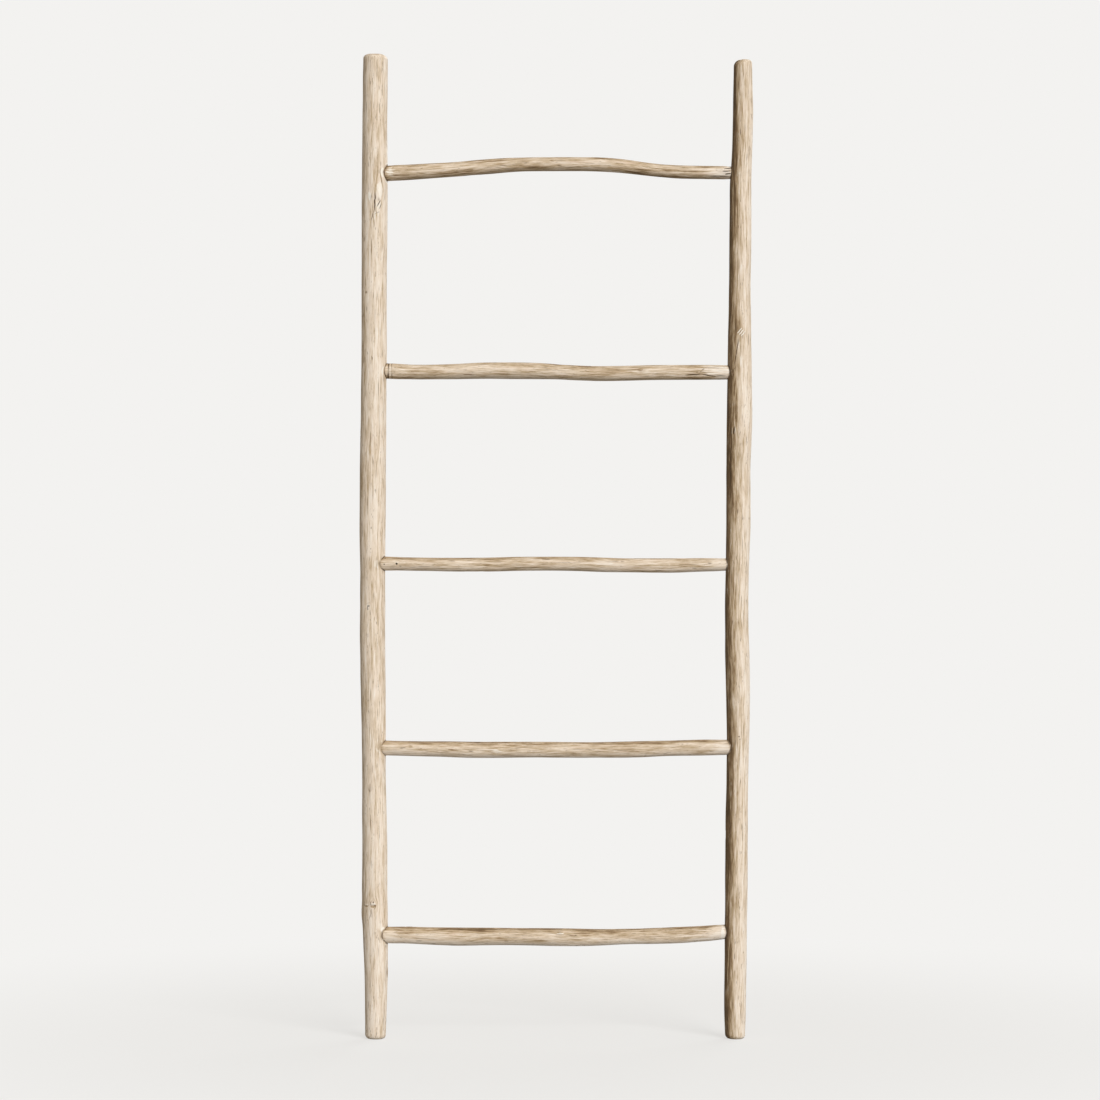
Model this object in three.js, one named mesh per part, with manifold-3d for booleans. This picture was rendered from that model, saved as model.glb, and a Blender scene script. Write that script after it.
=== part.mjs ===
// A ladder rack made of natural branches: two upright stiles and five rungs, with round tenons on
// the rung ends, blind mortises in the stiles and a wooden peg through the back of every joint.
// Millimetres. +Z is up, the rungs run along X, the front faces -Y, and z = 0 is the floor.

import * as THREE from "three";
import { mergeVertices } from "three/addons/utils/BufferGeometryUtils.js";
import Module from "manifold-3d";

const wasm = await Module();
wasm.setup();

// ---- Driving dimensions --------------------------------------------------------------------

const HEIGHT = 1500; // floor to the top of the taller, left stile
const RIGHT_STILE_SHORTFALL = 8; // the right stile ends this much lower
const STILE_SPACING = 555; // between the axes of the stiles
const LEFT_STILE_RADIUS = 19;
const RIGHT_STILE_RADIUS = 17.5;
const LEFT_ROUND_OVER = 8; // radius worn onto the top end of each stile
const RIGHT_ROUND_OVER = 10;
const FOOT_ROUND_OVER = 6.5; // worn edge round the flat sawn foot

const BOTTOM_RUNG_HEIGHT = 160; // floor to the lowest rung
const TOP_RUNG_DROP = 180; // top of the left stile down to the highest rung

const TENON_DEPTH = 26; // how far a rung end goes into its stile
const TENON_CHAMFER = 1;
const TENON_FIT = 0.4; // gap around a tenon in its mortise
const MORTISE_SPARE = 1.5; // gap behind the tenon's end
const SHOULDER_GAP = 0.5; // the rung keeps its tenon radius this far outside the stile
const NECK_LENGTH = 14; // over which a rung tapers down to its tenon

const PEG_RADIUS = 3;
const PEG_FIT = 0.3; // gap around a peg in its hole
const PEG_PAST_AXIS = 4; // how far the peg's tip goes past the tenon's axis
const PEG_SET_BACK = 1; // the peg's head lies this far below the stile's back
const PEG_TIP_TAPER = 1.2;

// Facets
const STILE_SIDES = 16;
const STILE_STEP = 36; // between the rings of a stile
const ROUND_OVER_STEPS = 4; // rings of each worn end
const RUNG_SIDES = 14;
const RUNG_STEP = 24;
const NECK_STEPS = 3;
const PEG_SIDES = 8;
const CUT_MARGIN = 6; // a cutting body runs this far out into the air

// The natural bends of each branch, as stations along it. A stile's are
// [share of its height, outward lean to +X, bow to the back, swell of the radius].
const LEFT_STILE_BENDS = [
  [0, 1.5, 0, -3.2],
  [0.04, 2.5, 0, -1.6],
  [0.09, 2, 0.5, -0.6],
  [0.14, 0.3, 1, 0.3],
  [0.2, 0.4, 1.5, 0.3],
  [0.28, -0.6, 2, -0.7],
  [0.39, -2.3, 2, 0.5],
  [0.45, -2.5, 1.5, -0.2],
  [0.5, -2.5, 1, 0.6],
  [0.57, -2, 0, 0.8],
  [0.69, 0, -1.5, 0.4],
  [0.76, 0.2, -2, 0.2],
  [0.86, 1, -1.5, 1],
  [0.94, 1, -1, 0.4],
  [1, 1.5, 0, 0],
];
const RIGHT_STILE_BENDS = [
  [0, -5, 0, -2.2],
  [0.03, -4.9, 0, -1],
  [0.14, -3.7, -1, -0.2],
  [0.26, -1.9, -1.5, -0.5],
  [0.32, -0.6, -1.5, 0.7],
  [0.38, -1.3, -1, 1.4],
  [0.43, -2.6, -0.5, 0.6],
  [0.54, 0.2, 1, 0.8],
  [0.58, 0, 1.5, 0.3],
  [0.63, 1.4, 2, 1.8],
  [0.72, 1.9, 2, 0.4],
  [0.78, 2.4, 1.5, -1],
  [0.82, 3, 1, -0.5],
  [0.87, 3.2, 0.5, -1.3],
  [0.91, 5.9, 0, -2.1],
  [1, 6.8, -1, -2.9],
];

// Each rung, from the top down. rise moves its left and right end off the even spacing. tenons
// are the radii of its two ends. forward says how far in front of the stile's axis each end sits:
// 0 is on the axis, and 1 would bring its mortise out to the stile's front. bends are stations
// between the stiles: [share of the way from left to right, up, to the back, swell of the radius].
const RUNGS = [
  {
    name: "top_rung",
    radius: 11,
    rise: [-1.5, 0],
    forward: [0.2, -0.75],
    tenons: [11.8, 9.6],
    bends: [
      [0, 0, 0, 1],
      [0.2, 6, 1, 0.8],
      [0.3, 10.3, 1, 1],
      [0.38, 13, 1, 0.2],
      [0.5, 13.7, 0, -0.1],
      [0.62, 13, -1, 0],
      [0.7, 9.6, -1, -0.5],
      [0.78, 4.2, -1, -1],
      [0.86, 1.2, 0, -0.7],
      [1, 0, 0, -0.5],
    ],
  },
  {
    name: "upper_rung",
    radius: 11.8,
    rise: [-12.5, -14.5],
    forward: [-0.11, -0.07],
    tenons: [11.8, 11],
    bends: [
      [0, 0, 0, 0.4],
      [0.1, -1.2, 0.5, -0.2],
      [0.3, 1, 1, 0.9],
      [0.45, 1, 0, 0.6],
      [0.53, -0.8, -0.5, -0.6],
      [0.63, -2.6, -1, -0.2],
      [0.8, -0.6, 0, -0.3],
      [1, 0, 0, -0.5],
    ],
  },
  {
    name: "middle_rung",
    radius: 10.8,
    rise: [-16, -17.5],
    forward: [0.6, -0.18],
    tenons: [10.8, 9.4],
    bends: [
      [0, 0, 0, 0.1],
      [0.25, -1.2, -1, -0.5],
      [0.43, 0.6, 0, 0],
      [0.55, 0.1, 1, 0.4],
      [0.7, -1.4, 1, 0.2],
      [0.88, -1.3, 0, -0.1],
      [1, 0, 0, -1],
    ],
  },
  {
    name: "lower_rung",
    radius: 11.8,
    rise: [-7, -6],
    forward: [0.42, 0.31],
    tenons: [11.5, 11.5],
    bends: [
      [0, 0, 0, -0.3],
      [0.15, -1.7, 1, -0.1],
      [0.28, -3.4, 1, 0.5],
      [0.45, -2.9, 0, 0.1],
      [0.6, -3.3, -1, -0.2],
      [0.72, -3.1, -1, 0.6],
      [0.83, -1.2, 0, -0.4],
      [0.92, -0.4, 0, 0],
      [1, 0, 0, -0.2],
    ],
  },
  {
    name: "bottom_rung",
    radius: 12.8,
    rise: [-2, 2.5],
    forward: [0.5, -0.3],
    tenons: [12.6, 11],
    bends: [
      [0, 0, 0, -0.1],
      [0.2, -3.4, -1, 0.8],
      [0.33, -3.7, -1, 0.4],
      [0.5, -5.3, 0, 0.8],
      [0.62, -6.6, 1, -0.2],
      [0.72, -5.5, 1, -0.9],
      [0.85, -4.3, 0, -0.6],
      [0.93, -2.2, 0, -1.4],
      [1, 0, 0, -1.5],
    ],
  },
];

const WOOD_ROUGHNESS = 0.78;
const STILE_COLOUR = 0xcdbb9f;
const RUNG_COLOUR = 0xd3c2a8;
const PEG_COLOUR = 0xa98c66;

// ---- Curves ----------------------------------------------------------------------------------

// The slope of one column of the stations at a station.
function slope(stations, i, column) {
  const before = stations[Math.max(i - 1, 0)];
  const after = stations[Math.min(i + 1, stations.length - 1)];
  return (after[column] - before[column]) / (after[0] - before[0]);
}

// A column's value at any share of the way, on a smooth cubic through its stations.
function along(stations, share, column) {
  let i = 0;
  while (i < stations.length - 2 && stations[i + 1][0] < share) i++;
  const [a, b] = [stations[i], stations[i + 1]];
  const width = b[0] - a[0];
  const t = (share - a[0]) / width;
  const rise = width * slope(stations, i, column);
  const fall = width * slope(stations, i + 1, column);
  const [t2, t3] = [t * t, t * t * t];
  return (
    a[column] * (2 * t3 - 3 * t2 + 1) +
    rise * (t3 - 2 * t2 + t) +
    b[column] * (3 * t2 - 2 * t3) +
    fall * (t3 - t2)
  );
}

// The places of rings from start to end, no further apart than step.
function spread(start, end, step) {
  const count = Math.ceil((end - start) / step);
  return Array.from({ length: count + 1 }, (_, i) => start + ((end - start) * i) / count);
}

// ---- Solids ----------------------------------------------------------------------------------

function solidOf(geometry) {
  geometry.deleteAttribute("normal");
  geometry.deleteAttribute("uv");
  const merged = mergeVertices(geometry, 1e-3);
  return new wasm.Manifold(
    new wasm.Mesh({
      numProp: 3,
      vertProperties: merged.attributes.position.array,
      triVerts: new Uint32Array(merged.index.array),
    }),
  );
}

function geometryOf(solid) {
  const { vertProperties, triVerts } = solid.getMesh();
  const geometry = new THREE.BufferGeometry();
  geometry.setAttribute("position", new THREE.BufferAttribute(vertProperties, 3));
  geometry.setIndex(new THREE.BufferAttribute(triVerts, 1));
  geometry.computeVertexNormals();
  return geometry;
}

// A round body along +Z, turned from [radius, height] points that start and end on the axis.
function turned(profile, sides) {
  const points = profile.map(([radius, height]) => new THREE.Vector2(radius, height));
  return new THREE.LatheGeometry(points, sides).rotateX(Math.PI / 2);
}

// Moves every ring of a body along +Z sideways, by the [x, y] that its height gives.
function bend(geometry, offsetAt) {
  const position = geometry.attributes.position;
  for (let i = 0; i < position.count; i++) {
    const [x, y] = offsetAt(position.getZ(i));
    position.setXY(i, position.getX(i) + x, position.getY(i) + y);
  }
  return geometry;
}

// A plain cylinder along +Z from one height to another.
function rod(radius, start, end, sides) {
  return turned([[0, start], [radius, start], [radius, end], [0, end]], sides);
}

// Lays a body that runs along +Z down along +X.
function layAlongX(geometry) {
  return geometry.rotateY(Math.PI / 2);
}

// ---- Stiles ----------------------------------------------------------------------------------

const STILES = {
  left: {
    inward: 1,
    height: HEIGHT,
    radius: LEFT_STILE_RADIUS,
    roundOver: LEFT_ROUND_OVER,
    bends: LEFT_STILE_BENDS,
  },
  right: {
    inward: -1,
    height: HEIGHT - RIGHT_STILE_SHORTFALL,
    radius: RIGHT_STILE_RADIUS,
    roundOver: RIGHT_ROUND_OVER,
    bends: RIGHT_STILE_BENDS,
  },
};

// The axis and radius of a stile at a height.
function stileAt(stile, height) {
  const share = height / stile.height;
  return {
    x: (-stile.inward * STILE_SPACING) / 2 + along(stile.bends, share, 1),
    y: along(stile.bends, share, 2),
    radius: stile.radius + along(stile.bends, share, 3),
  };
}

// The quarter circle that wears an end of a branch, from its side to its flat face, as points
// [radius, distance from the end].
function roundOver(radius, size) {
  return Array.from({ length: ROUND_OVER_STEPS }, (_, i) => {
    const angle = ((i + 1) / ROUND_OVER_STEPS) * (Math.PI / 2);
    return [radius - size * (1 - Math.cos(angle)), size * (1 - Math.sin(angle))];
  });
}

function stileBody(stile) {
  const radiusAt = (height) => stileAt(stile, height).radius;
  const shoulder = stile.height - stile.roundOver;
  const foot = roundOver(radiusAt(FOOT_ROUND_OVER), FOOT_ROUND_OVER);
  const top = roundOver(radiusAt(shoulder), stile.roundOver);
  const profile = [
    [0, 0],
    ...foot.reverse(),
    ...spread(FOOT_ROUND_OVER, shoulder, STILE_STEP).map((z) => [radiusAt(z), z]),
    ...top.map(([radius, below]) => [radius, stile.height - below]),
    [0, stile.height],
  ];
  return bend(turned(profile, STILE_SIDES), (height) => {
    const { x, y } = stileAt(stile, height);
    return [x, y];
  });
}

// ---- Joints ----------------------------------------------------------------------------------

// Where one end of a rung meets its stile: the tenon's axis, the plane in x where the stile's
// side starts, and the peg's ends.
function jointOf(rung, level, side) {
  const stile = STILES[side];
  const end = side === "left" ? 0 : 1;
  const z = level + rung.rise[end];
  const axis = stileAt(stile, z);
  const room = axis.radius - rung.tenons[end] - TENON_FIT;
  const y = axis.y - rung.forward[end] * room;
  const face = axis.x + stile.inward * (axis.radius + SHOULDER_GAP);
  const pegX = face - (stile.inward * TENON_DEPTH) / 2;
  const backAtPeg = axis.y + Math.sqrt(axis.radius ** 2 - (pegX - axis.x) ** 2);
  return {
    y,
    z,
    face,
    tip: face - stile.inward * TENON_DEPTH,
    mortiseEnd: face - stile.inward * (TENON_DEPTH + MORTISE_SPARE),
    mouth: face + stile.inward * CUT_MARGIN,
    tenon: rung.tenons[end],
    pegX,
    pegTip: y - PEG_PAST_AXIS,
    pegHead: backAtPeg - PEG_SET_BACK,
  };
}

function mortise(joint) {
  const [start, end] = [joint.mortiseEnd, joint.mouth].sort((a, b) => a - b);
  const hole = layAlongX(rod(joint.tenon + TENON_FIT, start, end, RUNG_SIDES));
  return hole.translate(0, joint.y, joint.z);
}

// A body that runs along +Z from 0, turned to run from front to back at the joint's peg.
function placeAtPeg(geometry, joint, start) {
  return geometry.rotateX(-Math.PI / 2).translate(joint.pegX, start, joint.z);
}

function pegHole(joint) {
  const start = joint.pegTip - PEG_FIT;
  const length = joint.pegHead + CUT_MARGIN - start;
  return placeAtPeg(rod(PEG_RADIUS + PEG_FIT, 0, length, PEG_SIDES), joint, start);
}

function pegBody(joint) {
  const length = joint.pegHead - joint.pegTip;
  const profile = [
    [0, 0],
    [PEG_RADIUS - PEG_TIP_TAPER, 0],
    [PEG_RADIUS, PEG_TIP_TAPER],
    [PEG_RADIUS, length],
    [0, length],
  ];
  return placeAtPeg(turned(profile, PEG_SIDES), joint, joint.pegTip);
}

// ---- Rungs -----------------------------------------------------------------------------------

// Eases from 0 to 1 with no corner at either end.
const ease = (t) => THREE.MathUtils.smoothstep(t, 0, 1);

function rungBody(rung, left, right) {
  const span = right.face - left.face;
  const shareAt = (x) => THREE.MathUtils.clamp((x - left.face) / span, 0, 1);
  const radiusAt = (x) => {
    const natural = rung.radius + along(rung.bends, shareAt(x), 3);
    const fromLeft = ease((x - left.face) / NECK_LENGTH);
    const fromRight = ease((right.face - x) / NECK_LENGTH);
    const tapered = left.tenon + (natural - left.tenon) * fromLeft;
    return right.tenon + (tapered - right.tenon) * fromRight;
  };
  const [bodyStart, bodyEnd] = [left.face + NECK_LENGTH, right.face - NECK_LENGTH];
  const neckStep = NECK_LENGTH / NECK_STEPS;
  const places = [
    ...spread(left.face, bodyStart, neckStep).slice(0, -1),
    ...spread(bodyStart, bodyEnd, RUNG_STEP),
    ...spread(bodyEnd, right.face, neckStep).slice(1),
  ];
  const profile = [
    [0, left.tip],
    [left.tenon - TENON_CHAMFER, left.tip],
    [left.tenon, left.tip + TENON_CHAMFER],
    ...places.map((x) => [radiusAt(x), x]),
    [right.tenon, right.tip - TENON_CHAMFER],
    [right.tenon - TENON_CHAMFER, right.tip],
    [0, right.tip],
  ];
  // Before the body is laid along X, its local -X is up.
  const body = bend(turned(profile, RUNG_SIDES), (x) => {
    const share = shareAt(x);
    const z = THREE.MathUtils.lerp(left.z, right.z, share) + along(rung.bends, share, 1);
    const y = THREE.MathUtils.lerp(left.y, right.y, share) + along(rung.bends, share, 2);
    return [-z, y];
  });
  return layAlongX(body);
}

// ---- Assembly --------------------------------------------------------------------------------

function wood(colour) {
  return new THREE.MeshStandardMaterial({
    color: colour,
    roughness: WOOD_ROUGHNESS,
    metalness: 0,
  });
}

function named(name, solid, material) {
  const mesh = new THREE.Mesh(geometryOf(solid), material);
  mesh.name = name;
  return mesh;
}

function ladder() {
  const group = new THREE.Group();
  const stiles = {
    left: solidOf(stileBody(STILES.left)),
    right: solidOf(stileBody(STILES.right)),
  };
  const pitch = (HEIGHT - BOTTOM_RUNG_HEIGHT - TOP_RUNG_DROP) / (RUNGS.length - 1);
  RUNGS.forEach((rung, i) => {
    const level = HEIGHT - TOP_RUNG_DROP - i * pitch;
    const joints = {
      left: jointOf(rung, level, "left"),
      right: jointOf(rung, level, "right"),
    };
    let solid = solidOf(rungBody(rung, joints.left, joints.right));
    for (const [side, joint] of Object.entries(joints)) {
      const drilled = solidOf(pegHole(joint));
      stiles[side] = stiles[side].subtract(solidOf(mortise(joint))).subtract(drilled);
      solid = solid.subtract(drilled);
      group.add(named(`${rung.name}_${side}_peg`, solidOf(pegBody(joint)), wood(PEG_COLOUR)));
    }
    group.add(named(rung.name, solid, wood(RUNG_COLOUR)));
  });
  for (const side of Object.keys(STILES))
    group.add(named(`${side}_stile`, stiles[side], wood(STILE_COLOUR)));
  return group;
}

export default ladder();
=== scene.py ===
import math

import bpy
import numpy as np
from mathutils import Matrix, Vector


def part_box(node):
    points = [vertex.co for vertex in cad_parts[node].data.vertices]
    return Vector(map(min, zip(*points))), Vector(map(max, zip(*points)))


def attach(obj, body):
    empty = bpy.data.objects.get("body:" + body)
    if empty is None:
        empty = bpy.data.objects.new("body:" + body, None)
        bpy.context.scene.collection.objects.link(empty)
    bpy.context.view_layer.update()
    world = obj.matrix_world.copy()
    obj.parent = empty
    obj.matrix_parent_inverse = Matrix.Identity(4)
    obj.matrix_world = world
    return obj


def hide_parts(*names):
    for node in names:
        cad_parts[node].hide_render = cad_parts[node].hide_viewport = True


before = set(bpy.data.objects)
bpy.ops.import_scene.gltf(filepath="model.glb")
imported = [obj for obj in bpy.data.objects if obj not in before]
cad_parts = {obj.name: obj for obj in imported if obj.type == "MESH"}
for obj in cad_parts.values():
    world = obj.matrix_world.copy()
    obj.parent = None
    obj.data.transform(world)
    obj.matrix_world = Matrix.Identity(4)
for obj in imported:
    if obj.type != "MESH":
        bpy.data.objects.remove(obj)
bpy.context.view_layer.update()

# A ladder rack of peeled, bleached branches: two stiles and five rungs with pegged tenons.
# The numbers below are millimetres and degrees, and a mesh is scaled to metres as it is made.
# A place on a branch is (s, angle): s runs along it, up a stile and to the right along a rung.
# Angle 0 faces the front. It grows towards +X on a stile and upwards on a rung.

MM = 0.001
TAU = 2 * math.pi

SIDES = ("left", "right")
STILES = ("left_stile", "right_stile")
RUNGS = ("top_rung", "upper_rung", "middle_rung", "lower_rung", "bottom_rung")

# ---- Small tools ---------------------------------------------------------------------------


def smooth(t):
    t = np.clip(t, 0, 1)
    return t * t * (3 - 2 * t)


def bell(t):
    return np.exp(-t * t)


def wrapped(angle):
    """An angle in radians, brought between half a turn each way."""
    return (angle + math.pi) % TAU - math.pi


def whole_turn(count):
    """Angles in even steps round a whole turn."""
    return np.linspace(-math.pi, math.pi, count, endpoint=False)


def each(make, *rows):
    """Calls a function with one row of values after another."""
    for row in rows:
        make(*row)


def read(data, attribute, width=3, kind=np.float32):
    """An attribute of every element, with one row for each if it is wider than 1."""
    flat = np.empty(len(data) * width, kind)
    data.foreach_get(attribute, flat)
    return flat.reshape(-1, width).astype(float) if width > 1 else flat


def field(seed, s, angle, length, around):
    """Smooth random values from -1 to 1 over a branch.

    A feature is about length long, and there are around features round the branch."""
    rng = np.random.default_rng(seed)
    rows = 64
    table = rng.uniform(-1, 1, (rows, around))
    phase = rng.uniform(0, rows, around)
    u = s / length
    v = angle / TAU % 1 * around
    column = np.floor(v).astype(int)
    blend = smooth(v - column)

    def along(j):
        w = u + phase[j]
        i = np.floor(w).astype(int)
        f = smooth(w - i)
        return table[i % rows, j] * (1 - f) + table[(i + 1) % rows, j] * f

    return along(column % around) * (1 - blend) + along((column + 1) % around) * blend


# ---- The centre line and radius of each branch, read from its CAD node ---------------------


def fit_circle(points):
    """Centre and radius of the circle through points in a plane."""
    a = np.column_stack([2 * points, np.ones(len(points))])
    x, y, c = np.linalg.lstsq(a, (points**2).sum(1), rcond=None)[0]
    return x, y, math.sqrt(c + x * x + y * y)


def calm_slopes(knots, values):
    """Slopes that never carry the curve past its knots."""
    step = np.diff(values) / np.diff(knots)
    before, after = step[:-1], step[1:]
    same = before * after > 0
    total = np.where(same, before + after, 1)
    middle = np.where(same, 2 * before * after / total, 0)
    return np.concatenate([[step[0]], middle, [step[-1]]])


def curve(knots, values, slope, at):
    """A cubic curve through the values at the knots."""
    i = np.clip(np.searchsorted(knots, at) - 1, 0, len(knots) - 2)
    width = knots[i + 1] - knots[i]
    t = np.clip((at - knots[i]) / width, 0, 1)
    t2, t3 = t * t, t * t * t
    return (
        values[i] * (2 * t3 - 3 * t2 + 1)
        + width * slope[i] * (t3 - 2 * t2 + t)
        + values[i + 1] * (3 * t2 - 2 * t3)
        + width * slope[i + 1] * (t3 - t2)
    )


class Branch:
    """A CAD branch as rings: where its centre runs and how thick it is."""

    def __init__(self, node, along):
        self.node = node
        self.along = along
        self.across = [k for k in range(3) if k != along]
        points = read(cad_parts[node].data.vertices, "co") / MM
        self.low = points[:, along].min()
        self.high = points[:, along].max()
        self.rings = np.array(self.read_rings(points))
        self.seed = 100 * (STILES + RUNGS).index(node)

    def read_rings(self, points):
        """The (s, x, y, radius) of each clean ring, without the points that lie inside it."""
        place = np.round(points[:, self.along], 2)
        rings = []
        for s in np.unique(place):
            ring = points[place == s][:, self.across]
            ring = np.unique(np.round(ring, 3), axis=0)
            for fewest in (8, 6):
                if len(ring) < fewest:
                    break
                x, y, r = fit_circle(ring)
                off = np.hypot(ring[:, 0] - x, ring[:, 1] - y) - r
                ring = ring[off > -0.08]
            else:
                if np.abs(off).max() < 0.1:
                    rings.append((s, x, y, r))
        return rings

    def keep(self, low, high):
        """Keeps the rings of the body and makes the curves through them."""
        s = self.rings[:, 0]
        rings = self.rings[(s > low - 0.05) & (s < high + 0.05)]
        self.knots = rings[:, 0]
        self.lines = [(rings[:, k], np.gradient(rings[:, k], self.knots)) for k in (1, 2)]
        self.thick = (rings[:, 3], calm_slopes(self.knots, rings[:, 3]))

    def centre(self, s):
        """The centre's two coordinates across the branch."""
        at = np.clip(s, self.knots[0], self.knots[-1])
        return [curve(self.knots, values, slope, at) for values, slope in self.lines]

    def radius(self, s):
        at = np.clip(s, self.knots[0], self.knots[-1])
        return curve(self.knots, *self.thick, at)

    def point(self, s, angle, r):
        """The points at a distance r from the centre line."""
        c1, c2 = self.centre(s)
        if self.along == 2:
            return np.stack([c1 + r * np.sin(angle), c2 - r * np.cos(angle), s], -1)
        return np.stack([s, c1 - r * np.cos(angle), c2 + r * np.sin(angle)], -1)

    def place(self, points):
        """The (s, angle, distance from the centre line) of points."""
        s = points[:, self.along]
        c1, c2 = self.centre(s)
        d1 = points[:, self.across[0]] - c1
        d2 = points[:, self.across[1]] - c2
        angle = np.arctan2(d1, -d2) if self.along == 2 else np.arctan2(d2, -d1)
        return s, angle, np.hypot(d1, d2)


END_REACH = 12  # the worn edge of a stile's end is shorter than this


def stile_branch(node):
    """A stile, with the sizes of its worn foot and top edges."""
    branch = Branch(node, 2)
    s = branch.rings[:, 0]
    foot = s[s < END_REACH].max()
    shoulder = s[s > branch.high - END_REACH].min()
    branch.foot_round = foot - branch.low
    branch.top_round = branch.high - shoulder
    branch.keep(foot, shoulder)
    return branch


def rung_branch(node):
    """A rung with its tenons. The rings at both ends start behind the chamfer."""
    branch = Branch(node, 0)
    branch.chamfer = 1.0
    branch.keep(branch.low + branch.chamfer, branch.high - branch.chamfer)
    return branch


branches = {node: stile_branch(node) for node in STILES}
branches.update({node: rung_branch(node) for node in RUNGS})


MORTISE_FIT = 0.45  # between a tenon and its mortise
MORTISE_SPARE = 1.5  # a mortise goes this far past the tenon's tip
PEG_FIT = 0.3  # between a peg and its hole

# How far the mouth of each mortise is broken out, at the left and at the right.
WORN_MOUTHS = {
    "top_rung": (0.8, 0.5),
    "upper_rung": (0.4, 0.5),
    "middle_rung": (0.3, 0.35),
    "lower_rung": (0.35, 0.9),
    "bottom_rung": (0.5, 0.7),
}


class Joint:
    """One rung end in its stile: the tenon's axis, radius, tip and where it enters the stile."""

    def __init__(self, rung, side):
        end = SIDES.index(side)
        self.rung, self.side, self.stile = rung, side, side + "_stile"
        self.sign = (-1, 1)[end]
        self.worn = WORN_MOUTHS[rung][end]
        self.peg = f"{rung}_{side}_peg"
        r, stile = branches[rung], branches[self.stile]
        self.tip = (r.low, r.high)[end]
        at = r.knots[-end]
        self.y, self.z = (float(v) for v in r.centre(at))
        self.radius = float(r.radius(at))
        x, y = (float(v) for v in stile.centre(self.z))
        inner = math.sqrt(float(stile.radius(self.z)) ** 2 - (self.y - y) ** 2)
        self.shoulder = x - self.sign * inner


joints = [Joint(rung, side) for rung in RUNGS for side in SIDES]


def joints_of(node):
    return [joint for joint in joints if node in (joint.rung, joint.stile)]


def shoulders(rung):
    """Where a rung leaves the left stile and meets the right one."""
    return [joint.shoulder for joint in joints_of(rung)]


# ---- What is on the surface of a branch ----------------------------------------------------


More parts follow.
